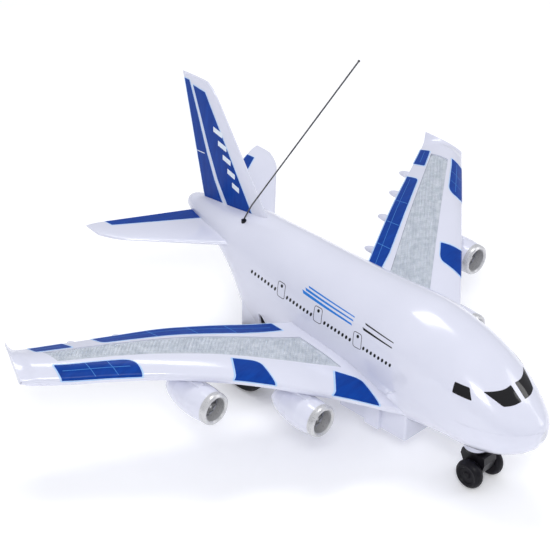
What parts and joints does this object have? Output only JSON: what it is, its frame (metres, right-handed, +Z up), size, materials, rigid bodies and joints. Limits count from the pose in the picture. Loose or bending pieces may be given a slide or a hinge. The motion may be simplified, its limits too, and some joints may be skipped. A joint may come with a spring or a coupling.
{
  "type": "toy airplane",
  "caption": "Radio-controlled toy airliner with a two-part white fuselage, swept wings with clear light panels, engine pods, a blue fin, drive wheels and a swivelling nose gear.",
  "frame": {"origin": "on the floor plane, on the centre line, midway along the fuselage between nose and tail cone", "axes": "+X towards the port wing tip, +Y towards the tail, +Z up"},
  "size_m": [0.45, 0.3534, 0.2815],
  "materials": {
    "white_shell": "glossy moulded ABS",
    "clear_lens": "clear moulded polystyrene with a prismatic pattern",
    "satin_silver": "satin silver paint on plastic",
    "fan_grey": "matt",
    "black_gloss": "glossy smoked plastic",
    "black_plastic": "satin moulded plastic",
    "steel_wire": "darkened spring wire",
    "steel": "zinc-plated",
    "motor_can": "drawn steel can",
    "circuit_board": "solder-masked board",
    "battery_sleeve": "printed plain sleeve",
    "gear_nylon": "natural nylon",
    "brass": "turned"
  },
  "bodies": {
    "airframe": {"upper_shell": "white_shell", "lower_shell": "white_shell", "cockpit_glazing": "black_gloss", "wing_upper_port": "white_shell", "wing_upper_starboard": "white_shell", "wing_lower_port": "white_shell", "wing_lower_starboard": "white_shell", "wing_lens_port": "clear_lens", "wing_lens_starboard": "clear_lens", "led_board_port": "circuit_board", "led_board_starboard": "circuit_board", "nacelle_outer_port": "white_shell", "nacelle_inner_port": "white_shell", "nacelle_outer_starboard": "white_shell", "nacelle_inner_starboard": "white_shell", "intake_ring_outer_port": "satin_silver", "intake_ring_inner_port": "satin_silver", "intake_ring_outer_starboard": "satin_silver", "intake_ring_inner_starboard": "satin_silver", "fan_outer_port": "fan_grey", "fan_inner_port": "fan_grey", "fan_outer_starboard": "fan_grey", "fan_inner_starboard": "fan_grey", "tail_fin": "white_shell", "tailplane_port": "white_shell", "tailplane_starboard": "white_shell", "antenna_wire": "steel_wire", "antenna_bush": "black_plastic", "battery_1": "battery_sleeve", "battery_2": "battery_sleeve", "battery_3": "battery_sleeve", "battery_contacts": "steel", "main_board": "circuit_board", "board_screws": "steel", "speaker": "black_plastic", "power_switch": "steel", "gearbox_case": "gear_nylon", "gearbox_cover": "gear_nylon", "gearbox_screws": "steel", "motor": "motor_can", "idler_pin": "steel", "axle_bushes": "brass", "shell_screws": "steel"},
    "rear_axle": {"main_axle": "steel", "axle_gear": "gear_nylon", "main_wheel_port": "black_plastic", "main_wheel_starboard": "black_plastic"},
    "idler": {"idler_gear": "gear_nylon"},
    "rotor": {"motor_shaft": "steel", "motor_pinion": "brass"},
    "nose_gear": {"nose_strut": "black_plastic", "nose_pivot_screw": "steel"},
    "nose_wheels": {"nose_axle": "steel", "nose_wheel_port": "black_plastic", "nose_wheel_starboard": "black_plastic"},
    "switch": {"switch_knob": "black_plastic"},
    "door": {"battery_door": "white_shell", "battery_door_screw": "steel"}
  },
  "joints": [
    {"name": "rear_axle_spin", "type": "hinge", "parent": "airframe", "child": "rear_axle", "pos_m": [0, 0.0724, 0.024], "axis": [1, 0, 0], "continuous": true},
    {"name": "idler_spin", "type": "hinge", "parent": "airframe", "child": "idler", "pos_m": [0, 0.0664, 0.03439], "axis": [1, 0, 0], "continuous": true},
    {"name": "rotor_spin", "type": "hinge", "parent": "airframe", "child": "rotor", "pos_m": [0, 0.05489, 0.03928], "axis": [1, 0, 0], "continuous": true},
    {"name": "nose_gear_swivel", "type": "hinge", "parent": "airframe", "child": "nose_gear", "pos_m": [0, -0.114, 0.034], "axis": [0, 0, 1], "range_deg": [-35, 35]},
    {"name": "nose_wheel_spin", "type": "hinge", "parent": "nose_gear", "child": "nose_wheels", "pos_m": [0, -0.118, 0.0107], "axis": [1, 0, 0], "continuous": true},
    {"name": "power_switch_slide", "type": "slide", "parent": "airframe", "child": "switch", "axis": [0, 1, 0], "range_m": [0, 0.003]},
    {"name": "battery_door_lift", "type": "slide", "parent": "airframe", "child": "door", "axis": [0, 0, -1], "range_m": [0, 0.012]}
  ],
  "couplings": [
    {"joint": "idler_spin", "follows": "rear_axle_spin", "ratio": -3},
    {"joint": "rotor_spin", "follows": "rear_axle_spin", "ratio": 12}
  ]
}
